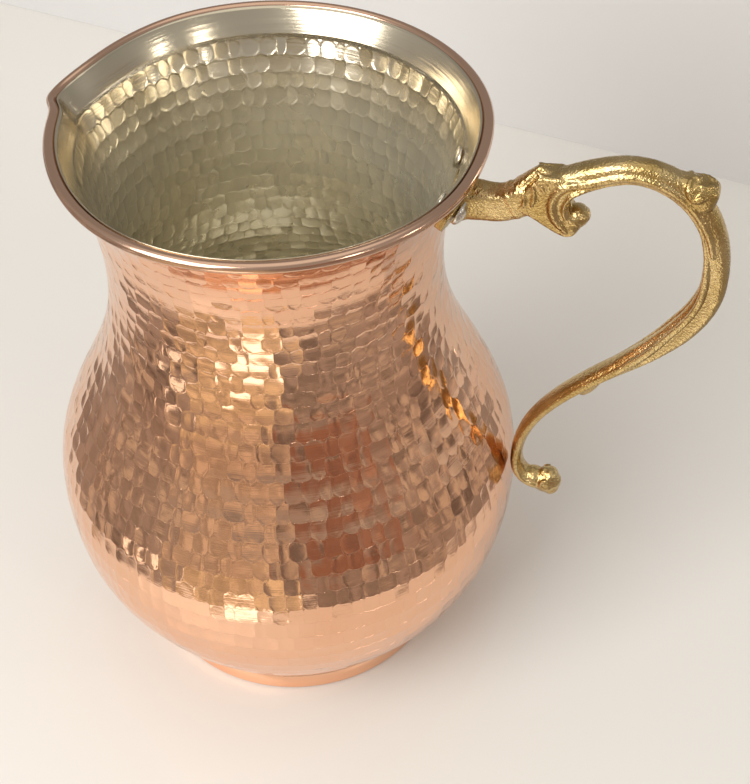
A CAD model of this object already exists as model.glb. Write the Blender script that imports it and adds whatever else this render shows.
import math

import bpy
import numpy as np
from mathutils import Matrix, Vector
from mathutils.kdtree import KDTree


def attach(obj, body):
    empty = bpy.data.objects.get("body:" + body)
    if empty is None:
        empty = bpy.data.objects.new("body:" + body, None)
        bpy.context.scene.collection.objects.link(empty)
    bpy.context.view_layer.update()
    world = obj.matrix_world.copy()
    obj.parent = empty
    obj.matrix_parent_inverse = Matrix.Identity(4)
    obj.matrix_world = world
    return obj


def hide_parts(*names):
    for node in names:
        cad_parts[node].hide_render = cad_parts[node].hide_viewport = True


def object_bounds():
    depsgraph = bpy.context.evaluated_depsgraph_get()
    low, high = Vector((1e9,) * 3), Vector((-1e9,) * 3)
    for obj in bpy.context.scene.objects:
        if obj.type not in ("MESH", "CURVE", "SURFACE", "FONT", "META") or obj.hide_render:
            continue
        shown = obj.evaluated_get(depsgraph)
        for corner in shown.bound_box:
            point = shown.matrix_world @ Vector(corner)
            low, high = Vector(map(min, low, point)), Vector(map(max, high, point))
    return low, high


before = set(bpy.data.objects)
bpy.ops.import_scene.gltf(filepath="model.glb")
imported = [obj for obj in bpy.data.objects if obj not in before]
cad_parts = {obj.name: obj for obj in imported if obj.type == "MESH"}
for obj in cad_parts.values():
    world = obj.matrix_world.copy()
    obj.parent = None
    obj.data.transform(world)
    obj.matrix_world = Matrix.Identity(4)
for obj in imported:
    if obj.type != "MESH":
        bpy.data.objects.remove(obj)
cad_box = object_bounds()
MM = 0.001


# Body shell: one sheet of copper, raised to a pear shape, struck all over in rings with a
# round-faced hammer, polished, and rolled outwards over a wire at the mouth. The handle's
# rivets go through it.
foot_radius, foot_height, lap_height = 50.3, 8.3, 1.2
wall, tin_thickness, fit_gap, wire_radius = 0.7, 0.3, 0.3, 0.6
belly, neck = (74.2, 67.0), (49.3, 153.5)
jug_height, rim_radius = 196.0, 60.8
shoulder_lean, mouth_lean, roll_sweep = 37, 32, 285
foot_tangent, mouth_tangent = 25, 14
belly_tangent_below, belly_tangent_above = 26.6, 32
neck_tangent_below, neck_tangent_above = 43.6, 16
lip_reach, lip_drop, lip_depth = 1.7, 1.6, 30
lip_near = {"pinch": 2.5, "tip": 6, "flank": 58}
lip_far = {"pinch": 1.5, "tip": 10.5, "flank": 38}
handle_press, handle_press_angle = 1, 18

body_columns = 480
weld_distance = 0.002
mark_width = 4.75                 # one hammer blow across the jug
mark_heights = ((0, 5.4), (45, 6.4), (95, 5.9), (150, 5.2), (200, 5.0))     # along the sheet
mark_depth = 0.15
mark_strength = ((8, 0.35), (40, 1), (130, 1), (175, 0.75), (195, 0.5))     # along the sheet
mark_steps = (-1, -0.55, 0, 0.55)                                           # levels of one mark
mark_squareness = 3                # 2 is an ellipse, and more is squarer
mark_bow, seam_rise, joint_bow = 0.55, 0.1, 0.05
edge_crowding = 0.35              # draws the mesh towards the edges of a mark
ring_spread, blow_spread = (0.88, 1.12), (0.7, 1.25)
joint_stray, mark_tip = 0.23, 0.6
shortest_ring = 3
first_mark, mark_to_rim = 8.0, 4.5
hand_waves = ((3, 17, 0), (5, -11, 1), (9, 7, 2))        # waves round, length up, start
wave_depth, hollow_depth = 0.05, 0.32
hollow_share = ((8, 0), (30, 1), (150, 0.7), (190, 0))                      # along the sheet

body_red, body_pink, bead_brown = (0.84, 0.475, 0.295, 1), (0.88, 0.53, 0.345, 1), (0.70, 0.455, 0.325, 1)


def graded(at, stops):
    """A value that changes evenly from stop to stop, where a stop is a place and its value."""
    return np.interp(at, *zip(*stops))


def lean(degrees, length):
    """A step out and up, that leans outwards from upright."""
    angle = math.radians(degrees)
    return np.array([math.sin(angle), math.cos(angle)]) * length


def bend(start, out_of, into, end, steps):
    """A curve that sets off from its start along one step and comes into its end along another."""
    t = np.linspace(0, 1, steps + 1)[:, None]
    a, d = np.array(start, float), np.array(end, float)
    b, c = a + out_of, d - into
    return (1 - t) ** 3 * a + 3 * (1 - t) ** 2 * t * b + 3 * (1 - t) * t * t * c + t ** 3 * d


def joined(bends):
    """Curves end to end, as one line."""
    return np.concatenate([bend(*bends[0])] + [bend(*part)[1:] for part in bends[1:]])


def arc(centre, radius, first, last, steps):
    angle = np.radians(np.linspace(first, last, steps + 1))
    return np.column_stack([centre[0] + radius * np.cos(angle), centre[1] + radius * np.sin(angle)])


def run_along(line):
    """The distance from a line's start to each of its points."""
    return np.concatenate([[0], np.cumsum(np.linalg.norm(np.diff(line, axis=0), axis=1))])


def point_at(run, line_run, line):
    """Out and up at a distance along a line."""
    return np.column_stack([np.interp(run, line_run, line[:, i]) for i in (0, 1)])


def heading_at(run, line_run, line, near):
    """The line's direction there, between points a little behind and a little ahead."""
    along = point_at(run + near, line_run, line) - point_at(run - near, line_run, line)
    return along / np.linalg.norm(along, axis=1)[:, None]


roll_inside = wire_radius + fit_gap
roll_outside = roll_inside + wall
wire_centre = (rim_radius, jug_height - roll_outside)
roll_start = 180 - mouth_lean
roll_end = roll_start - roll_sweep
roll_foot = arc(wire_centre, roll_inside, roll_start, roll_start, 1)[0]
collar_radius, collar_top = foot_radius + fit_gap + wall, foot_height + lap_height
collar_end = (collar_radius, collar_top)
sheet_line = joined((
    (collar_end, lean(shoulder_lean, foot_tangent), lean(0, belly_tangent_below), belly, 300),
    (belly, lean(0, belly_tangent_above), lean(0, neck_tangent_below), neck, 400),
    (neck, lean(0, neck_tangent_above), lean(mouth_lean, mouth_tangent), roll_foot, 200),
))
sheet_run = run_along(sheet_line)
whole_run = sheet_run[-1]


def on_sheet(run):
    """Radius and height of the sheet's outer face at a distance along it, and its outward normal."""
    along = heading_at(run, sheet_run, sheet_line, near=0.5)
    return point_at(run, sheet_run, sheet_line), np.column_stack([along[:, 1], -along[:, 0]])


def set_in(run, inset):
    """Radius and height under the sheet's outer face, and the height of the face itself."""
    place, out = on_sheet(run)
    return place - inset * out, place[:, 1]


def pulled(angle, radius, level, height):
    """Bends a turned shape into the pouring lip and the dent at the handle, as the CAD part does."""
    from_handle = np.degrees(angle)
    from_lip = 180 - np.abs(from_handle)
    t = np.clip((level - (jug_height - lip_depth)) / lip_depth, 0, 1)
    fade = t * t * (3 - 2 * t)
    side = {size: np.where(from_handle < 0, lip_near[size], lip_far[size]) for size in lip_near}
    tip = np.exp(-(from_lip / side["tip"]) ** 2)
    flank = np.exp(-(from_lip / side["flank"]) ** 4)
    press = np.exp(-(from_handle / handle_press_angle) ** 2)
    out = fade * ((lip_reach + side["pinch"]) * tip - side["pinch"] * flank - handle_press * press)
    radius = radius + out
    height = height - fade * fade * lip_drop * tip
    return np.stack([radius * np.cos(angle), radius * np.sin(angle), height], -1)


def wrapped(angle):
    """The same angle, between half a turn back and half a turn on."""
    return (angle + math.pi) % (2 * math.pi) - math.pi


def struck_rings(first, last, columns, seed):
    """Rings of hammer marks up the sheet: where each ring lies along it, and for every column of the
    mesh the count of marks up to it, its place in its mark, its angle, and how its mark was struck."""
    chance = np.random.default_rng(seed)
    edges = [0.0]
    while first + edges[-1] < last - shortest_ring:
        height = graded(first + edges[-1], mark_heights) * chance.uniform(*ring_spread)
        edges.append(edges[-1] + height)
    edges = first + np.array(edges) * (last - first) / edges[-1]
    column = np.arange(columns + 1)
    rings = []
    for low, high in zip(edges[:-1], edges[1:]):
        girth = 2 * math.pi * on_sheet(np.array([(low + high) / 2]))[0][0][0]
        count = round(girth / mark_width)
        stray = np.resize(chance.uniform(-joint_stray, joint_stray, count), count + 2)
        joint = (np.arange(-1, count + 1) + stray) / count + chance.uniform(0, 1 / count)
        joint[-1], joint[0] = joint[1] + 1, joint[-2] - 1
        start = np.round(joint * columns).astype(int)
        mark = np.clip(np.searchsorted(start, column, side="right") - 1, 0, count)
        across = np.clip(2 * (column - start[mark]) / (start[mark + 1] - start[mark]) - 1, -1, 1)
        across = across * (1 + edge_crowding * (1 - across ** 2))
        share = (across + 1) / 2
        angle = 2 * math.pi * (joint[mark] + share * (joint[mark + 1] - joint[mark]))
        struck_by = mark[:-1] % count
        rings.append({
            "low": low, "high": high, "gap": 2 * math.pi / count,
            "count": mark + share, "across": across[:-1], "angle": angle[:-1],
            "depth": chance.uniform(*blow_spread, count + 1)[struck_by],
            "lean": chance.normal(0, mark_tip, count + 1)[struck_by],
            "nod": chance.normal(0, mark_tip, count + 1)[struck_by],
        })
    return rings


def struck_levels(rings, depth_stops):
    """Levels of a struck sheet: the distance along it before and after the blows, the angle of
    every column there, and how deep the blows went."""
    plain, runs, angles, depths = [], [], [], []
    for below, ring in zip(rings[:1] + rings[:-1], rings):
        across = ring["across"]
        for step in mark_steps:
            run = ring["low"] + (step + 1) / 2 * (ring["high"] - ring["low"])
            plain.append(run)
            if step == -1:
                angle = (ring["angle"] + below["angle"]) / 2
                run = run - mark_bow * (1 - across ** 2) + seam_rise
            else:
                angle = ring["angle"] - ring["gap"] * joint_bow * (1 - step ** 2)
            size = (np.abs(across) ** mark_squareness + abs(step) ** mark_squareness) ** (1 / mark_squareness)
            dish = np.clip(1 - size ** 2, 0, 1) * (1 + ring["lean"] * across + ring["nod"] * step)
            runs.append(np.broadcast_to(run, angle.shape))
            angles.append(angle)
            depths.append(dish * ring["depth"] * graded(ring["low"], depth_stops))
    top = rings[-1]
    plain.append(top["high"])
    runs.append(np.full(len(top["angle"]), top["high"]))
    angles.append(top["angle"])
    depths.append(np.zeros(len(top["angle"])))
    return np.array(plain), np.array(runs), wrapped(np.array(angles)), np.array(depths)


def turned(line, columns, level=None):
    """A turned line's points at every column, pulled into the lip by their own or a given height."""
    level = line[:, 1] if level is None else level
    angle = wrapped(np.arange(columns) * 2 * math.pi / columns)
    return pulled(np.broadcast_to(angle, (len(line), columns)), line[:, 0:1], level[:, None], line[:, 1:2])


def spots_of(piece):
    """Where a piece's vertices are, in metres."""
    spots = np.empty(len(piece.data.vertices) * 3)
    piece.data.vertices.foreach_get("co", spots)
    return spots.reshape(-1, 3)


def move_spots(piece, spots):
    piece.data.vertices.foreach_set("co", spots.ravel())


def spun(name, line, columns):
    """A turned piece: its line is drawn point by point, then spun round the jug's axis. An eighth
    is spun, and the rest is copies of it."""
    bpy.ops.object.select_all(action="DESELECT")
    bpy.ops.mesh.primitive_plane_add(size=MM, location=(0, 0, 0))
    piece = bpy.context.object
    piece.name = piece.data.name = name
    bpy.ops.object.mode_set(mode="EDIT")
    bpy.ops.mesh.merge(type="CENTER")
    steps = np.diff(np.vstack([[0, 0], line]), axis=0) * MM
    bpy.ops.transform.translate(value=(steps[0][0], 0, steps[0][1]))
    for out, up in steps[1:]:
        bpy.ops.mesh.extrude_region_move(TRANSFORM_OT_translate={"value": (out, 0, up)})
    bpy.ops.mesh.select_all(action="SELECT")
    bpy.ops.mesh.spin(steps=columns // 8, angle=math.pi / 4, center=(0, 0, 0), axis=(0, 0, 1))
    for turn in (math.pi / 4, math.pi / 2, math.pi):
        bpy.ops.mesh.select_all(action="SELECT")
        bpy.ops.mesh.duplicate()
        bpy.ops.transform.rotate(value=turn, orient_axis="Z", center_override=(0, 0, 0))
    bpy.ops.mesh.select_all(action="SELECT")
    bpy.ops.mesh.remove_doubles(threshold=weld_distance * MM)
    bpy.ops.mesh.normals_make_consistent(inside=False)
    bpy.ops.mesh.faces_shade_smooth()
    bpy.ops.object.mode_set(mode="OBJECT")
    return piece


def places_of(piece, line, columns):
    """The level and column of every vertex of a spun piece."""
    tree = KDTree(len(line))
    for level, (radius, height) in enumerate(line):
        tree.insert((radius, height, 0), level)
    tree.balance()
    x, y, z = spots_of(piece).T / MM
    level = np.array([tree.find((radius, height, 0))[1] for radius, height in zip(np.hypot(x, y), z)])
    column = np.round(np.arctan2(y, x) / (2 * math.pi) * columns).astype(int) % columns
    return level, column


def mark_map(piece, level, column, first, rings, columns):
    """A UV map that counts the marks round and up the sheet, for the fine relief of the material."""
    corners = np.empty(len(piece.data.loops), dtype=int)
    piece.data.loops.foreach_get("vertex_index", corners)
    starts = np.empty(len(piece.data.polygons), dtype=int)
    piece.data.polygons.foreach_get("loop_start", starts)
    face = np.searchsorted(starts, np.arange(len(corners)), side="right") - 1
    level, column = level[corners], column[corners]
    low = np.minimum.reduceat(level, starts)[face]
    spread = (np.maximum.reduceat(column, starts) - np.minimum.reduceat(column, starts))[face]
    past_seam = (spread > columns / 2) & (column < columns / 2)
    column = np.minimum(np.where(past_seam, column + columns, column), columns)
    per_ring = len(mark_steps)
    ring = np.clip((low - first) // per_ring, 0, len(rings) - 1)
    struck = (low >= first) & (level <= first + per_ring * len(rings))
    counts = np.array([one["count"] for one in rings])
    along = (np.append(mark_steps, 1) + 1) / 2
    u = np.where(struck, counts[ring, column], 0.5)
    v = np.where(struck, ring + along[np.clip(level - first - ring * per_ring, 0, per_ring)], 0.5)
    piece.data.uv_layers.new(name="marks")
    places = np.column_stack([u, v]).astype(np.float32)
    piece.data.uv_layers["marks"].data.foreach_set("uv", places.ravel())


def struck_piece(name, below, middle, above, points, rings, columns, closed):
    """A spun piece with its struck levels in the middle of its line, and every vertex laid on its
    point by its level and column."""
    line = np.concatenate([below, middle, above])
    piece = spun(name, np.vstack([line, line[:1]]) if closed else line, columns)
    level, column = places_of(piece, line, columns)
    move_spots(piece, points[level, column] * MM)
    mark_map(piece, level, column, len(below), rings, columns)
    piece.data.update()
    return piece


rings = struck_rings(first_mark, whole_run - mark_to_rim, body_columns, seed=7)
blow_depths = [(run, mark_depth * strength) for run, strength in mark_strength]
plain, runs, angles, depths = struck_levels(rings, blow_depths)
waves = sum(np.sin(count * angles + runs / length + start) for count, length, start in hand_waves)
depth = depths + graded(runs, hollow_share) * (wave_depth * waves + hollow_depth)
radius, height = set_in(runs.ravel(), depth.reshape(-1, 1))[0].T
struck = pulled(angles.ravel(), radius, height, height).reshape(*runs.shape, 3)

collar_bend = collar_top - 0.3
under_marks = np.linspace(0.6, first_mark - 1.5, 5)
over_marks = np.linspace(whole_run - 3.2, whole_run - 0.4, 3)
down_inside = np.linspace(whole_run - 3, 2, 30)
below_marks = np.concatenate([
    [(collar_radius, foot_height), (collar_radius, collar_bend)],
    on_sheet(under_marks)[0],
])
above_marks = np.concatenate([
    on_sheet(over_marks)[0],
    arc(wire_centre, roll_inside, roll_start, roll_end, 7),
    arc(wire_centre, roll_outside, roll_end, roll_start, 18),
    set_in(down_inside, wall)[0],
    [(collar_radius - wall, collar_bend), (collar_radius - wall, foot_height)],
])
points = np.concatenate([turned(below_marks, body_columns), struck, turned(above_marks, body_columns)])
body = struck_piece("jug_body", below_marks, on_sheet(plain)[0], above_marks, points, rings, body_columns,
                    closed=True)
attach(body, "root")
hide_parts("body_shell")


class Socket:
    """A shader socket that takes part in sums."""

    def __init__(self, tree, socket=None):
        self.tree, self.socket = tree, socket

    def node(self, kind, settings=None, output=0, **inputs):
        """Adds a node, and gives one of its outputs. An input is called by its name, or _ and its number."""
        made = self.tree.nodes.new(kind)
        for key, value in (settings or {}).items():
            setattr(made, key, value)
        for key, value in inputs.items():
            target = made.inputs[int(key[1:])] if key[0] == "_" else made.inputs[key.replace("_", " ")]
            if isinstance(value, Socket):
                self.tree.links.new(value.socket, target)
            else:
                target.default_value = value
        return Socket(self.tree, made.outputs[output])

    def math(self, operation, *values):
        inputs = {f"_{i}": value for i, value in enumerate(values)}
        return self.node("ShaderNodeMath", {"operation": operation}, **inputs)

    def __add__(self, other):
        return self.math("ADD", self, other)

    def __sub__(self, other):
        return self.math("SUBTRACT", self, other)

    def __mul__(self, other):
        return self.math("MULTIPLY", self, other)

    def __rsub__(self, other):
        return self.math("SUBTRACT", other, self)

    __radd__, __rmul__ = __add__, __mul__

    def __abs__(self):
        return self.math("ABSOLUTE", self)

    def __pow__(self, power):
        return self.math("POWER", self, power)

    def smooth(self, low, high):
        """0 at the low value and 1 at the high one, with soft ends."""
        settings = {"interpolation_type": "SMOOTHSTEP"}
        return self.node("ShaderNodeMapRange", settings, Value=self, From_Min=low, From_Max=high)

    def mix(self, first, second):
        return self.node("ShaderNodeMix", {"data_type": "RGBA"}, output=2, _0=self, _6=first, _7=second)

    def noise(self, **values):
        return self.node("ShaderNodeTexNoise", Vector=self, **values)

    def turned_lines(self, around, up, detail):
        """Fine lines that run round the jug."""
        stretch = self.node("ShaderNodeMapping", Vector=self, Scale=(around, around, up))
        return stretch.noise(Scale=1.0, Detail=detail)

    def bump(self, strength=1.0, distance=0.001):
        """Relief from heights, which are in millimetres where the distance is 0.001."""
        return self.node("ShaderNodeBump", Height=self, Strength=strength, Distance=distance)

    def parts(self, count=3):
        """The separate numbers of a vector."""
        split = self.node("ShaderNodeSeparateXYZ", _0=self).socket.node
        return [Socket(self.tree, split.outputs[i]) for i in range(count)]


def finish_of(name, **values):
    """A new material, its main shader with these plain values, and its object coordinates."""
    material = bpy.data.materials.new(name)
    material.use_nodes = True
    shader = material.node_tree.nodes["Principled BSDF"]
    for key, value in values.items():
        shader.inputs[key.replace("_", " ")].default_value = value
    return material, shader, Socket(material.node_tree).node("ShaderNodeTexCoord", output="Object")


def feed(shader, **links):
    for key, value in links.items():
        value.tree.links.new(value.socket, shader.inputs[key.replace("_", " ")])


def mark_relief(place, edge, tilt):
    """Fine relief of the hammer marks in millimetres: crisp edges, and each mark a little tilted."""
    marks = place.node("ShaderNodeUVMap", {"uv_map": "marks"})
    u, v = marks.parts(2)
    across, along = u.math("FRACT", u) * 2 - 1, v.math("FRACT", v) * 2 - 1
    size = abs(across) ** 2.2 + abs(along) ** 2.2
    which = place.node("ShaderNodeVectorMath", {"operation": "FLOOR"}, _0=marks)
    chance = place.node("ShaderNodeTexWhiteNoise", {"noise_dimensions": "3D"}, output=1, Vector=which)
    lean_chance, nod_chance = chance.parts(2)
    tilted = (lean_chance - 0.5) * across * tilt + (nod_chance - 0.5) * along * tilt
    return size.smooth(0.55, 1.5) * edge + tilted


copper, shader, place = finish_of("hammered_copper", Metallic=1.0)
tone = place.noise(Scale=22.0, Detail=3.0, Roughness=0.6)
fine = place.noise(Scale=420.0, Detail=2.0)
scratches = place.turned_lines(around=30.0, up=2600.0, detail=3.0)
on_bead = place.parts()[2].smooth(0.1915, 0.1925)
relief = mark_relief(place, edge=0.045, tilt=0.26) + (scratches - 0.5) * 0.020 + (fine - 0.5) * 0.012
feed(shader, Base_Color=on_bead.mix(tone.smooth(0.3, 0.7).mix(body_red, body_pink), bead_brown),
     Roughness=0.055 + tone * 0.04 + scratches * 0.05 + on_bead * 0.07,
     Normal=relief.bump())
body.data.materials.append(copper)


# Base pan: a shallow pan of plain spun copper that closes the bottom. Its upright wall is the
# smooth foot, and laps inside the body's collar, where it is soldered.
pan_columns = 192
pan_corner = 0.3                  # inside radius of the bottom edge
pan_red, pan_pink = (0.93, 0.53, 0.33, 1), (0.96, 0.60, 0.40, 1)

pan_edge = pan_corner + wall
pan_inside = foot_radius - wall
corner_centre = (foot_radius - pan_edge, pan_edge)
pan_line = np.concatenate([
    [(0, 0)], [(radius, 0) for radius in range(8, 49, 8)],
    arc(corner_centre, pan_edge, -90, 0, 6),
    [(foot_radius, 4), (foot_radius, collar_top), (pan_inside, collar_top), (pan_inside, 2 * wall)],
    arc(corner_centre, pan_corner, 0, -90, 3),
    [(30, wall), (0, wall)],
])
pan = spun("foot_pan", pan_line, pan_columns)
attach(pan, "root")
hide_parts("base_pan")
plain_copper, shader, place = finish_of("spun_copper", Metallic=1.0)
tone = place.noise(Scale=30.0, Detail=3.0)
lines = place.turned_lines(around=20.0, up=3000.0, detail=2.0)
feed(shader, Base_Color=tone.smooth(0.3, 0.7).mix(pan_red, pan_pink), Roughness=0.08 + lines * 0.08,
     Normal=lines.bump(strength=0.1, distance=0.0001))
pan.data.materials.append(plain_copper)


# Tin lining: molten tin wiped over the whole inside, which keeps copper off the food. The
# hammer marks show through it from behind, and the mouth is scraped bright in fine rings.
tin_columns = 360
scraped_band = 9                  # plain tin above the marks, along the sheet
tin_sunk = 0.16                   # the struck face lies this much under the plain one
tin_meets_foot = 10.0             # up to this height the lining stands upright
lowest_run = 5.0                  # from here along the sheet it follows the sheet
tin_warm, tin_pale, tin_scraped = (0.96, 0.90, 0.735, 1), (0.97, 0.92, 0.775, 1), (0.68, 0.60, 0.455, 1)

tin_back = wall + fit_gap
tin_face = tin_back + tin_thickness
marks_end = whole_run - scraped_band
tin_rings = struck_rings(first_mark, marks_end, tin_columns, seed=11)
plain, runs, angles, depths = struck_levels(tin_rings, ((whole_run - 30, 0.15), (marks_end, 0.08)))
inset = tin_face + tin_sunk - depths.reshape(-1, 1)
shape, level = set_in(runs.ravel(), inset)
struck = pulled(angles.ravel(), shape[:, 0], level, shape[:, 1]).reshape(*runs.shape, 3)

tin_floor = np.array([(radius, tin_face) for radius in (0, 15, 30, 44, 47.6)]
                     + [(48.6, 1.7), (49.0, 2.6), (49.0, tin_meets_foot)])
tin_foot = np.array([(foot_radius - tin_back, tin_meets_foot), (foot_radius - tin_back, 2.0),
                     (foot_radius - tin_back - 1, tin_back), (30, tin_back), (0, tin_back)])
low_face, low_level = set_in(np.array([lowest_run]), tin_face)
high_runs, still_sunk = np.linspace(whole_run - 7.8, whole_run, 9), np.linspace(1, 0, 9)[:, None]
high_face, high_level = set_in(high_runs, tin_face + tin_sunk * still_sunk)
back, back_level = set_in(np.linspace(whole_run, lowest_run, 30), tin_back)
below_marks = np.concatenate([tin_floor, low_face])
below_level = np.concatenate([tin_floor[:, 1], low_level])
above_marks = np.concatenate([high_face, back, tin_foot])
above_level = np.concatenate([high_level, back_level, tin_foot[:, 1]])
points = np.concatenate([turned(below_marks, tin_columns, below_level), struck,
                         turned(above_marks, tin_columns, above_level)])
lining = struck_piece("tin_face", below_marks, set_in(plain, tin_face)[0], above_marks, points, tin_rings,
                      tin_columns, closed=False)
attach(lining, "root")
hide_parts("tin_lining")
tin, shader, place = finish_of("wiped_tin")
tone = place.noise(Scale=28.0, Detail=4.0, Roughness=0.6)
lines = place.turned_lines(around=14.0, up=1700.0, detail=3.0)
height = place.parts()[2]
mouth = height.smooth(0.176, 0.188)
wiped = tone.smooth(0.3, 0.7).mix(tin_warm, tin_pale)
relief = (lines - 0.5) * (0.02 + mouth * 0.04) + mark_relief(place, edge=0.10, tilt=0.34)
feed(shader, Base_Color=height.smooth(0.150, 0.188).mix(wiped, tin_scraped),
     Metallic=0.80 + mouth * 0.2, Roughness=0.23 + tone * 0.08 - mouth * (0.15 - lines * 0.12),
     Normal=relief.bump())
lining.data.materials.append(tin)


# Handle: one brass casting, scoured and polished on its faces. A winged plate is riveted to the
# neck; from it a stippled neck rises into a fluted arch, with a leaf and a volute at its foot and a
# leaf knob on the corner, and a flat-sided arm runs down to a curled, lobed end at the belly.
root = np.array((52.87, 179.3))
arch_foot, arch_top, reach = root + (19.2, 3.4), root + (47.8, 17.2), root + (72, -15.5)
heel, curl = np.array((75.17, 82.5)), np.array((85.17, 72.9))
spine_bends = (
    (root, lean(90, 12), lean(58, 9), arch_foot, 60),
    (arch_foot, lean(58, 5), lean(90, 9.5), arch_top, 80),
    (arch_top, lean(90, 9), lean(180, 25.5), reach, 120),
    (reach, lean(180, 31), lean(180, 36), heel, 240),
    (heel, lean(180, 8), (5.3, 1.2), curl, 60),
)
spine = joined(spine_bends)
spine_run = run_along(spine)
to_foot, to_arch, to_reach, to_heel, to_curl = spine_run[np.cumsum([steps for *_, steps in spine_bends])]

neck_collar = to_foot - 3.5
bar_sections = (                  # distance along the spine, thickness and width
    (0, 15.5, 13), (4, 11.6, 9.6), (9, 9.7, 7.8),
    (neck_collar - 1, 9.3, 7.6), (neck_collar, 9.8, 8.2), (neck_collar + 1, 9.3, 7.8),
    (to_foot, 9.6, 7.8), (to_foot + 9, 8.2, 7.6), (to_arch, 6.2, 6.7), (to_arch + 12, 6.6, 7.0),
    (to_reach, 7.3, 6.4), (to_reach + 22, 7.1, 6.2), (to_reach + 44, 4.6, 7.2),
    (to_heel, 3.6, 6.2), (to_curl, 5, 7.2),
)
bar_fullness, neck_fullness = 0.8, 0.45                   # 1 is an ellipse, and less is squarer
bar_narrowing = (                 # how much narrower the outer side is than the middle
    (4, 0), (8, 0.1), (to_foot, 0.1), (to_foot + 8, 0), (to_reach - 12, 0),
    (to_reach + 6, 0.45), (to_reach + 34, 0.45), (to_reach + 50, 0),
)
flank = 4.0                       # half the width of the volute under the arch
volute_outline = (                # out and up from the root
    (17.0, 1.0), (21.2, -0.6), (25.5, -3.2), (28.6, -4.9), (31.1, -5.7), (33.2, -5.0), (34.4, -3.0),
    (34.2, -0.8), (33.0, 0.8), (31.8, 1.8), (31.2, 4.0), (31.8, 8.0), (33.6, 12.0), (28.0, 13.2),
    (22.6, 12.6), (19.2, 8.0),
)
volute_edge = 0.7
volute_buds = (                   # out and up from the root, size and width
    (33.4, -0.3, 6.6, 7.4), (32.6, -2.4, 5.0, 8.8), (34.9, 0.0, 4.2, 6.4), (30.4, -3.4, 3.4, 8.8),
)
leaf_tip = root + (22.6, 14.2)
leaf_ribs = (                     # foot, thickness and width
    (leaf_tip + (6.5, -5.5), 5.6, 6.4), (root + (17.4, 6.6), 4.2, 6.6),
)
leaf_folds = (                    # from, to, thickness, and how far aside it starts
    ((21.8, 13.4), (25.2, 10.6), 1.4, 2.0), ((24.2, 12.8), (28.2, 11.0), 1.3, 3.0),
    ((22.0, 11.0), (24.4, 8.6), 1.2, 3.6), ((21.2, 10.4), (21.4, 3.4), 1.2, 3.8),
    ((18.8, 7.0), (18.9, 2.4), 1.1, 3.8),
)
flutes = (                        # height on the arch's side, thickness, and the way down the flank
    (-0.20, 2.2, ((32.6, 12.4), (29.4, 10.9), (27.2, 7.9), (26.5, 4.6), (27.2, 1.2), (29.2, -1.7),
                  (31.4, -3.6))),
    (-0.68, 1.2, ((33.8, 10.0), (31.6, 8.4), (30.2, 5.8), (30.0, 3.0), (30.8, 0.6))),
)
knob, knob_size = root + (64.2, 12.6), (9.6, 8.4, 8.2)    # length, thickness and width
knob_tilt, knob_fullness = -14, 0.55
knob_vein = ((-0.4, 1.2), (0.8, 0.6), (1.8, 0.7), (2.5, 1.7), (3.0, 0.9))    # across and up, facing the knob
ripple_height, ripple_rate = 0.07, 4.2
ripple_wander, wander_rate = 1.5, 0.9
end_lobes = ((1.6, -2.0, 5.6), (1.2, 2.4, 5.2), (2.6, 0.5, 4.4), (-3.0, 2.4, 3.0), (-0.8, 3.4, 3.0))
strip_rise = ((to_reach - 16, -0.72), (to_reach + 4, -0.66), (to_reach + 22, -0.62), (to_reach + 44, 0))
strip_width = ((to_reach - 16, 1.2), (to_reach, 1.7), (to_reach + 50, 2.0), (to_heel, 2.0), (to_curl, 1.4))
plate_thickness = 2.4
plate_edge = (                    # height, and half the plate's width there
    (173.5, 0.6), (175.0, 5.8), (178.0, 6.6), (180.4, 10.5), (181.2, 16.6), (183.0, 18.6), (186.6, 18.6),
    (188.5, 14.8),
)
brass_brown, brass_gold = (0.50, 0.345, 0.13, 1), (0.68, 0.515, 0.26, 1)


def bar_size(run):
    """The bar's thickness and width at a distance along the spine."""
    places, thickness, width = zip(*bar_sections)
    return np.column_stack([np.interp(run, places, thickness), np.interp(run, places, width)])


def on_bar(run, rise=0.0):
    """Out and up of the bar's line, moved by a share of its half thickness towards its outer side."""
    along = heading_at(run, spine_run, spine, near=0.3)
    outwards = np.column_stack([-along[:, 1], along[:, 0]])
    return point_at(run, spine_run, spine) + (rise * bar_size(run)[:, 0] / 2)[:, None] * outwards


def side_of_bar(run, rise):
    """Half the bar's width at a share of its half thickness."""
    wide = bar_size(run)[:, 1] * (1 - graded(run, bar_narrowing) * rise)
    return wide / 2 * (1 - np.clip(np.abs(rise), 0, 0.999) ** (2 / bar_fullness)) ** (bar_fullness / 2)


def round_size(size):
    """The same thickness and width."""
    return np.column_stack([size, size])


casting = []


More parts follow.
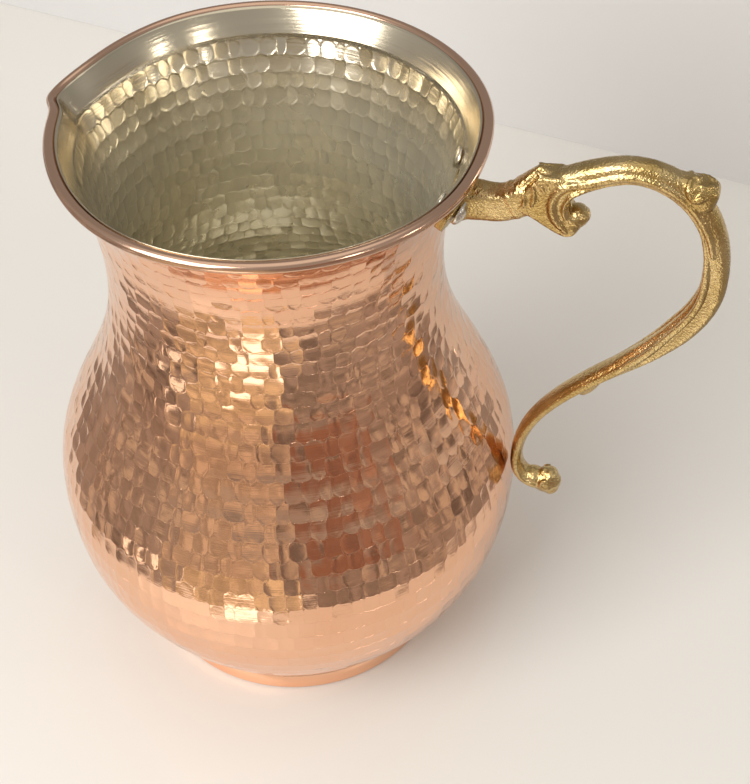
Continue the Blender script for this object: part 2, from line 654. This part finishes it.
def cast_bar(line, sideways, sizes, fullness=1.0, sides=12, swell=None, taper=0.0):
    """A closed bar: a disc is extruded ring by ring, then its rings are laid along the line."""
    bpy.ops.object.select_all(action="DESELECT")
    bpy.ops.mesh.primitive_circle_add(vertices=sides, radius=1, fill_type="NGON", location=(0, 0, 0))
    piece = bpy.context.object
    bpy.ops.object.mode_set(mode="EDIT")
    for _ in line[1:]:
        bpy.ops.mesh.extrude_region_move(TRANSFORM_OT_translate={"value": (0, 0, 1)})
    bpy.ops.object.mode_set(mode="OBJECT")
    up, aside, ring = spots_of(piece).T
    ring = np.round(ring).astype(int)
    centre = np.column_stack([line[:, 0], np.broadcast_to(sideways, len(line)), line[:, 1]])
    along = np.gradient(centre, axis=0)
    along /= np.linalg.norm(along, axis=1)[:, None]
    outer = np.cross(along, (0, -1, 0))
    outer /= np.linalg.norm(outer, axis=1)[:, None]
    across = np.cross(along, outer)
    thick, wide = np.broadcast_to(sizes, (len(line), 2))[ring].T
    fullness = np.broadcast_to(fullness, len(line))[ring]
    rise = np.sign(up) * np.abs(up) ** fullness * thick / 2
    reach_aside = np.sign(aside) * np.abs(aside) ** fullness * wide / 2
    reach_aside *= 1 - np.broadcast_to(taper, len(line))[ring] * up
    if swell is not None:
        grow = 1 + swell(ring, up) / np.maximum(np.hypot(rise, reach_aside), 0.1)
        rise, reach_aside = rise * grow, reach_aside * grow
    places = centre[ring] + rise[:, None] * outer[ring] + reach_aside[:, None] * across[ring]
    move_spots(piece, places * MM)
    bpy.ops.object.mode_set(mode="EDIT")
    bpy.ops.mesh.select_all(action="SELECT")
    bpy.ops.mesh.normals_make_consistent(inside=False)
    bpy.ops.object.mode_set(mode="OBJECT")
    casting.append(piece)


def cast_lump(place, long, thick, wide, tilt=0, fullness=1.0):
    """A lump of the casting, from a ball to a rounded block."""
    size = Vector((long, wide, thick)) * MM
    bpy.ops.object.select_all(action="DESELECT")
    bpy.ops.mesh.primitive_uv_sphere_add(
        segments=28, ring_count=16, radius=0.5, location=(place[0] * MM, 0, place[1] * MM),
        rotation=(0, -math.radians(tilt), 0), scale=size)
    lump = bpy.context.object
    spots = spots_of(lump)
    move_spots(lump, np.sign(spots) * np.abs(2 * spots / size) ** fullness * size / 2)
    casting.append(lump)


def cast_slab(outline, half_width, edge):
    """A flat web: its outline is drawn as a face, extruded to its width, and its edges bevelled."""
    bpy.ops.object.select_all(action="DESELECT")
    bpy.ops.mesh.primitive_circle_add(vertices=len(outline), radius=1, fill_type="NGON", location=(0, 0, 0))
    piece = bpy.context.object
    move_spots(piece, np.array([(root[0] + out, -half_width, root[1] + up) for out, up in outline]) * MM)
    bpy.ops.object.mode_set(mode="EDIT")
    bpy.ops.mesh.select_all(action="SELECT")
    bpy.ops.mesh.extrude_region_move(TRANSFORM_OT_translate={"value": (0, 2 * half_width * MM, 0)})
    bpy.ops.mesh.select_all(action="SELECT")
    bpy.ops.mesh.normals_make_consistent(inside=False)
    bpy.ops.mesh.bevel(offset=edge * MM, segments=2)
    bpy.ops.object.mode_set(mode="OBJECT")
    casting.append(piece)


def finished_with(piece, kind, **settings):
    """Adds a modifier to the active piece and applies it."""
    modifier = piece.modifiers.new(kind.lower(), kind)
    for key, value in settings.items():
        setattr(modifier, key, value)
    bpy.ops.object.modifier_apply(modifier=modifier.name)


bar_run = np.linspace(0, to_curl, 420)


def file_ripples(ring, up):
    """Low ripples that the file left across the outer side of the arch."""
    run = bar_run[ring]
    share = graded(run, ((to_foot, 0), (to_foot + 6, 1), (to_reach - 22, 1), (to_reach - 14, 0)))
    ripple = np.sin(run * ripple_rate + ripple_wander * np.sin(run * wander_rate))
    return ripple_height * share * np.clip(up + 0.2, 0, 1) * ripple


squareness = graded(bar_run, ((4, bar_fullness), (9, neck_fullness), (to_foot, neck_fullness),
                              (to_foot + 8, bar_fullness)))
cast_bar(on_bar(bar_run), 0, bar_size(bar_run), squareness, sides=32, swell=file_ripples,
         taper=graded(bar_run, bar_narrowing))

cast_slab(volute_outline, flank, volute_edge)
for out, up, size, wide in volute_buds:
    cast_lump(root + (out, up), size, size, wide)

share = np.linspace(0, 1, 12)
for foot, thick, wide in leaf_ribs:
    rib = foot + share[:, None] * (leaf_tip - (0, 0.4) - foot)
    rib_size = np.column_stack([thick - (thick - 1.2) * share, wide - (wide - 2.2) * share])
    cast_bar(rib, 0, rib_size, fullness=0.8, sides=16)

# shoulder of the arch, up to the knob on its corner
shoulder = root + (50, 16.2) + share[:, None] * (12.5, -1.9)
cast_bar(shoulder, 0, np.column_stack([5.4 + share * 0.6, 6.2 + share * 0.6]), fullness=0.7, sides=16)
cast_lump(knob, *knob_size, knob_tilt, knob_fullness)

# thumb bead on the arm, and the curled end
thumb_bead = on_bar(np.array([to_reach + 56]), 1.0)[0]
cast_lump(thumb_bead, long=10.5, thick=3.3, wide=4.8, tilt=55)
cast_lump(curl, long=9.6, thick=8.6, wide=8.0)
cast_lump(curl + (-3.4, 1.0), long=8.6, thick=5.4, wide=7.2, tilt=-20)
for out, up, size in end_lobes:
    cast_lump(curl + (out, up), size, size, size + 1.2)


def on_knob(across, rise, side):
    """Places on the knob under points that are drawn facing it from above and one side."""
    middle = np.array((knob[0], 0, knob[1]))
    facing, upward = np.array((0, side * 0.69, 0.72)), np.array((0, -side * 0.72, 0.69))
    start = middle + np.outer(across, (1, 0, 0)) + np.outer(rise, upward)
    outside_to_middle = np.linspace(8, 0, 80)[:, None]
    places = start[:, None] + outside_to_middle * facing
    x, y, z = np.moveaxis(places - middle, -1, 0)
    flat, steep = math.cos(math.radians(knob_tilt)), math.sin(math.radians(knob_tilt))
    in_knob = (x * flat + z * steep, z * flat - x * steep, y)
    size = sum((2 * np.abs(part) / whole) ** (2 / knob_fullness) for part, whole in zip(in_knob, knob_size))
    return places[np.arange(len(start)), np.argmax(size < 1, axis=1)]


def cast_flute(rise, thick, curl_down, side):
    """A round rib from the corner along the arch's side, that curls down the volute's flank."""
    arch_run = np.linspace(to_reach - 10, to_foot + 17, 60)
    bends = root + np.array(curl_down)
    down = np.linspace(0, len(bends) - 1, 40)
    line = np.vstack([on_bar(arch_run, rise), point_at(down, np.arange(len(bends)), bends)])
    depth = np.concatenate([side_of_bar(arch_run, rise) + 0.05, np.full(40, flank + 0.1)])
    for _ in range(12):
        line[1:-1] = (line[:-2] + 2 * line[1:-1] + line[2:]) / 4
        depth[1:-1] = (depth[:-2] + 2 * depth[1:-1] + depth[2:]) / 4
    last = len(line) - 1
    thin = graded(np.arange(len(line)), ((0, 0.35), (14, 1), (last - 11, 1), (last, 0.5)))
    cast_bar(line, side * depth, np.column_stack([thick * thin, 1.5 * thin]), sides=10)


for side in (-1, 1):
    for flute in flutes:
        cast_flute(*flute, side)

    # flat strip down the side of the arm
    strip_run = np.linspace(to_reach - 16, to_curl - 3, 150)
    rise = graded(strip_run, strip_rise)
    strip_size = np.column_stack([graded(strip_run, strip_width), np.full(150, 1.5)])
    strip_aside = side * (side_of_bar(strip_run, rise) - 0.30)
    cast_bar(on_bar(strip_run, rise), strip_aside, strip_size, fullness=0.3, sides=16)

    # folds of the leaf
    belly_out = np.sin(share * math.pi)
    for start, end, size, depth in leaf_folds:
        fold = root + start + share[:, None] * (np.array(end) - start) + np.outer(belly_out, (0.6, 0))
        thin = round_size(size * (0.5 + belly_out * 0.5))
        cast_bar(fold, side * (depth + (flank - depth) * share), thin, sides=8)

    # spiral on the curled end, then the scroll and the vein on the knob
    turn = np.radians(np.linspace(75, 318, 36))
    spiral = curl + np.column_stack([0.4 + 1.7 * np.cos(turn), 1.2 + 1.7 * np.sin(turn)])
    cast_bar(spiral, side * 3.7, round_size(np.linspace(0.8, 1.2, 36)), sides=8)
    vein = point_at(np.linspace(0, 4, 36), np.arange(5), np.array(knob_vein)).T
    for (across, rise), first, last in (((-0.8 + 2.3 * np.cos(turn), 0.5 + 3.0 * np.sin(turn)), 1.2, 2.5),
                                        (vein, 0.8, 1.2)):
        scroll = on_knob(across, rise, side)
        cast_bar(scroll[:, [0, 2]], scroll[:, 1], round_size(np.linspace(first, last, 36)), sides=10)

# winged root plate, laid on the neck
bpy.ops.object.select_all(action="DESELECT")
bpy.ops.mesh.primitive_grid_add(x_subdivisions=40, y_subdivisions=30, size=2, location=(0, 0, 0))
plate = bpy.context.object
aside, up, _ = spots_of(plate).T
height = graded(up, ((-1, plate_edge[0][0]), (1, plate_edge[-1][0])))
across = aside * graded(height, plate_edge)
layer = set_in(np.interp(height, sheet_line[:, 1], sheet_run), -fit_gap)[0]
press = np.exp(-(np.degrees(across / layer[:, 0]) / handle_press_angle) ** 2)
press *= np.clip((height - (jug_height - lip_depth)) / lip_depth, 0, 1)
out = np.sqrt(layer[:, 0] ** 2 - across ** 2) - handle_press * press
move_spots(plate, np.column_stack([out, across, layer[:, 1]]) * MM)
finished_with(plate, "SOLIDIFY", thickness=plate_thickness * MM, offset=1)
casting.append(plate)

# one skin over all of it, with soft edges and the grain of the sand
bpy.ops.object.select_all(action="DESELECT")
for part in casting:
    part.select_set(True)
bpy.context.view_layer.objects.active = casting[0]
bpy.ops.object.join()
bpy.ops.object.transform_apply(location=True, rotation=True, scale=True)
handle = bpy.context.object
handle.name = handle.data.name = "brass_handle"
finished_with(handle, "REMESH", mode="VOXEL", voxel_size=0.32 * MM, use_smooth_shade=True)
finished_with(handle, "SMOOTH", factor=0.5, iterations=2)
sand = bpy.data.textures.new("sand_grain", "CLOUDS")
sand.noise_scale = 0.9 * MM
sand.noise_depth = 1
finished_with(handle, "DISPLACE", texture=sand, texture_coords="LOCAL", strength=0.13 * MM, mid_level=0.5)
inside_box = 0.01 * MM
low_corner, high_corner = np.array(cad_box[0]) + inside_box, np.array(cad_box[1]) - inside_box
move_spots(handle, np.clip(spots_of(handle), low_corner, high_corner))
bpy.ops.object.shade_smooth()
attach(handle, "root")
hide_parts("handle")
brass, shader, place = finish_of("cast_brass", Metallic=1.0)
tone = place.noise(Scale=60.0, Detail=3.0, Roughness=0.6)
grain = place.noise(Scale=1900.0, Detail=2.0)
pits = place.node("ShaderNodeTexVoronoi", Vector=place, Scale=1400.0)
relief = (grain - 0.5) * 0.15 + (pits - 0.3) * 0.09
feed(shader, Base_Color=tone.smooth(0.35, 0.65).mix(brass_brown, brass_gold), Roughness=0.18 + tone * 0.12,
     Normal=relief.bump())
handle.data.materials.clear()
handle.data.materials.append(brass)


# Rivets: two thick copper pins through plate, neck and lining, with their heads hammered to low
# domes. The inner heads are tinned with the lining. Of the outer heads, the near one still has its
# tin, and the far one has worn back to copper.
rivet_angle, rivet_height = 11.5, jug_height - 12
pin_radius, head_edge, head_seat = 1.75, 0.3, 0.6
outer_radius, outer_dome, inner_radius, inner_dome = 3.4, 1.7, 3.1, 0.9
rivet_columns = 48
inner_tin = (0.78, 0.73, 0.62, 1)
near_dark, near_pale = (0.66, 0.62, 0.56, 1), (0.80, 0.77, 0.70, 1)
far_dark, far_pale = (0.62, 0.38, 0.26, 1), (0.80, 0.58, 0.46, 1)

outer, inner = fit_gap + plate_thickness + head_seat, -(tin_face + head_seat)
dome = arc((0, 0), 1, 0, 90, 8)
rivet_line = np.concatenate([
    (0, inner - head_edge) + dome[::-1] * (inner_radius, -inner_dome),
    [(inner_radius, inner), (pin_radius, inner), (pin_radius, outer), (outer_radius, outer)],
    (0, outer + head_edge) + dome * (outer_radius, outer_dome),
])
for name, node, side, dark, pale in (("near_rivet", "rivet_near", -1, near_dark, near_pale),
                                     ("far_rivet", "rivet_far", 1, far_dark, far_pale)):
    rivet = spun(name, rivet_line, rivet_columns)
    angle = math.radians(side * rivet_angle)
    heights = rivet_height + np.array((-1, 0, 1))
    radii = np.interp(heights, sheet_line[:, 1], sheet_line[:, 0])
    seat = np.linalg.norm(pulled(angle, radii, heights, heights)[:, :2], axis=1)
    slope = math.atan((seat[2] - seat[0]) / 2)
    rivet.data.transform(Matrix.Rotation(angle, 4, "Z")
                         @ Matrix.Translation(Vector((seat[1], 0, rivet_height)) * MM)
                         @ Matrix.Rotation(math.pi / 2 + slope, 4, "Y"))
    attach(rivet, "root")
    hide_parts(node)
    worn, shader, place = finish_of(name + "_metal", Metallic=1.0)
    tone = place.noise(Scale=260.0, Detail=3.0)
    x, y = place.parts(2)
    outside = (x * x + y * y).smooth(0.0027, 0.0030)      # square of the distance from the jug's axis
    feed(shader, Base_Color=outside.mix(inner_tin, tone.smooth(0.35, 0.65).mix(dark, pale)),
         Roughness=0.2 + tone * 0.15, Normal=(tone * 0.15).bump())
    rivet.data.materials.append(worn)


# Rim wire: a ring of drawn copper wire that the mouth's edge is rolled over, which keeps the
# mouth round. It stays inside the bead, so only its dull drawn skin is made here.
wire_dark, wire_pale = (0.42, 0.26, 0.17, 1), (0.60, 0.38, 0.26, 1)

drawn, shader, place = finish_of("drawn_wire", Metallic=1.0)
tone = place.noise(Scale=120.0, Detail=2.0)
feed(shader, Base_Color=tone.mix(wire_dark, wire_pale), Roughness=0.3 + tone * 0.2)
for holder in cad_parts["rim_wire"].material_slots:
    holder.material = drawn


# Stage: a pale glossy table with a pale wall behind it, in a plain room. The room is what the
# polished metal mirrors: light above, dim towards the viewer, with a lit window low in front.
table_white, wall_white = (0.82, 0.795, 0.755, 1), (0.78, 0.775, 0.77, 1)
table_size, table_drop = 8, 0.0002
wall_middle, wall_turn, wall_size = (0.013, 0.292, 0.08), -9.6, (4, 0.16)
table_sides = (                   # which way each side faces, and how far out the table's mirror image ends
    (0, -1, 0.150), (-0.768, -0.640, 0.158), (0.831, -0.557, 0.147), (0.959, -0.284, 0.150),
)


def clear_where(share, shader):
    """Makes a surface see-through where the share is 1."""
    tree = share.tree
    clear = share.node("ShaderNodeBsdfTransparent")
    mixed = share.node("ShaderNodeMixShader", _0=share, _1=Socket(tree, shader.outputs[0]), _2=clear)
    tree.links.new(mixed.socket, tree.nodes["Material Output"].inputs["Surface"])


bpy.ops.object.select_all(action="DESELECT")
bpy.ops.mesh.primitive_plane_add(size=table_size, location=(0, 0, -table_drop))
table = bpy.context.object
table.name = "table"
material, shader, place = finish_of("table_top", Roughness=0.3, Base_Color=table_white)
x, y = place.parts(2)
mirrored = place.node("ShaderNodeLightPath", output="Is Glossy Ray")
inside = [1 - (x * out + y * back).smooth(side - 0.001, side + 0.002) for out, back, side in table_sides]
clear_where(mirrored * (1 - math.prod(inside)), shader)
table.data.materials.append(material)

bpy.ops.mesh.primitive_plane_add(size=1, location=(0, 0, 0))
wall_piece = bpy.context.object
wall_piece.name = "back_wall"
wall_piece.data.transform(Matrix.Translation(wall_middle)
                          @ Matrix.Rotation(math.radians(wall_turn), 4, "Z")
                          @ Matrix.Rotation(math.radians(90), 4, "X")
                          @ Matrix.Diagonal((*wall_size, 1, 1)))
wall_piece.visible_shadow = False
material, shader, place = finish_of("wall_paint", Roughness=0.8, Base_Color=wall_white)
clear_where(place.node("ShaderNodeNewGeometry", output="Backfacing"), shader)
wall_piece.data.materials.append(material)

world = bpy.data.worlds.new("room")
world.use_nodes = True
bpy.context.scene.world = world
way = Socket(world.node_tree).node("ShaderNodeTexCoord", output="Generated")
x, y, z = way.parts()


def window(left, right, bottom, top, soft):
    """1 inside a box of directions in front of the jug, fading to 0 over a soft edge."""
    across = x.smooth(left - soft, left + soft) * x.smooth(right + soft, right - soft)
    upright = z.smooth(bottom - soft, bottom + soft) * z.smooth(top + soft, top - soft)
    return across * upright * y.smooth(0.02, -0.02)


clutter = way.noise(Scale=6.0, Detail=2.0).smooth(0.35, 0.65)
cells = way.node("ShaderNodeTexVoronoi", output=1, Vector=way, Scale=11.0).parts()
wall_grey, ceiling_white, far_grey = (0.42, 0.41, 0.395, 1), (0.98, 0.95, 0.89, 1), (0.33, 0.315, 0.30, 1)
low_brown, low_grey = (0.27, 0.235, 0.21, 1), (0.43, 0.38, 0.35, 1)
reds = cells[2].mix((0.20, 0.08, 0.05, 1), (0.46, 0.22, 0.13, 1))
creams = cells[2].mix((0.36, 0.30, 0.24, 1), (0.92, 0.76, 0.58, 1))
golds = cells[0].mix((0.40, 0.33, 0.24, 1), (1.15, 0.98, 0.66, 1))
patches = (                       # how much is covered, and with which colour
    (cells[0].smooth(0.80, 0.84) * 0.7, (0.75, 0.66, 0.54, 1)),
    (cells[1].smooth(0.78, 0.82) * 0.7, (0.12, 0.10, 0.09, 1)),
    (window(0.38, 0.88, -0.28, 0.06, 0.06) * 0.7, reds),
    (window(-0.58, 0.24, -0.34, 0.10, 0.06) * 0.7, creams),
    (window(-0.58, 0.24, -0.90, -0.30, 0.05) * 0.85, golds),
    (window(-0.215, 0.095, -0.73, -0.57, 0.01), (2.6, 2.5, 2.35, 1)),
    (window(-0.72, -0.70, -0.60, -0.36, 0.01), (2.4, 2.3, 2.1, 1)),
)
room = clutter.mix(low_brown, low_grey)
for cover, colour in patches:
    room = cover.mix(room, colour)
light = z.smooth(0.78, 0.94).mix(wall_grey, ceiling_white)
light = (y.smooth(0.0, 0.35) * z.smooth(0.92, 0.78)).mix(light, far_grey)
viewer_side = (y - x * 0.168).smooth(0.50, 0.42)
light = (viewer_side * z.smooth(0.30, 0.02)).mix(light, room)
background = world.node_tree.nodes["Background"]
feed(background, Color=light)
background.inputs["Strength"].default_value = 1.0

daylight, lamplight = (1, 0.985, 0.96), (1, 0.95, 0.85)
for name, azimuth, elevation, distance, size, power, colour in (
        ("window", -118, 38, 0.95, 0.6, 7.8, daylight), ("right_lamp", -36, 25, 1.1, 0.12, 0.6, lamplight),
        ("back_lamp", -7, 20, 1.1, 0.10, 0.4, lamplight), ("left_lamp", 39, 8, 1.1, 0.12, 0.3, lamplight)):
    lamp_data = bpy.data.lights.new(name, "AREA")
    lamp_data.shape = "SQUARE"
    lamp_data.size = size
    lamp_data.energy = power
    lamp_data.color = colour
    lamp = bpy.data.objects.new(name, lamp_data)
    bpy.context.collection.objects.link(lamp)
    around, above = math.radians(azimuth), math.radians(elevation)
    aim = Vector((math.cos(around) * math.cos(above), math.sin(around) * math.cos(above), math.sin(above)))
    lamp.location = Vector((0, 0, 0.1)) + aim * distance
    lamp.rotation_euler = aim.to_track_quat("Z", "Y").to_euler()

view_right, view_up = Vector((0.96776, 0.25162, -0.01151)), Vector((-0.16970, 0.68509, 0.70841))
view_ahead, view_from = Vector((-0.18614, 0.68361, -0.70571)), Vector((116.6, -320.4, 429.3)) * MM
camera_data = bpy.data.cameras.new("view")
camera_data.lens = 68.88
camera_data.sensor_width = 36
camera = bpy.data.objects.new("view", camera_data)
bpy.context.collection.objects.link(camera)
matrix = Matrix((view_right, view_up, -view_ahead)).transposed().to_4x4()
matrix.translation = view_from
camera.matrix_world = matrix
bpy.context.scene.camera = camera
bpy.context.scene.view_settings.view_transform = "Standard"
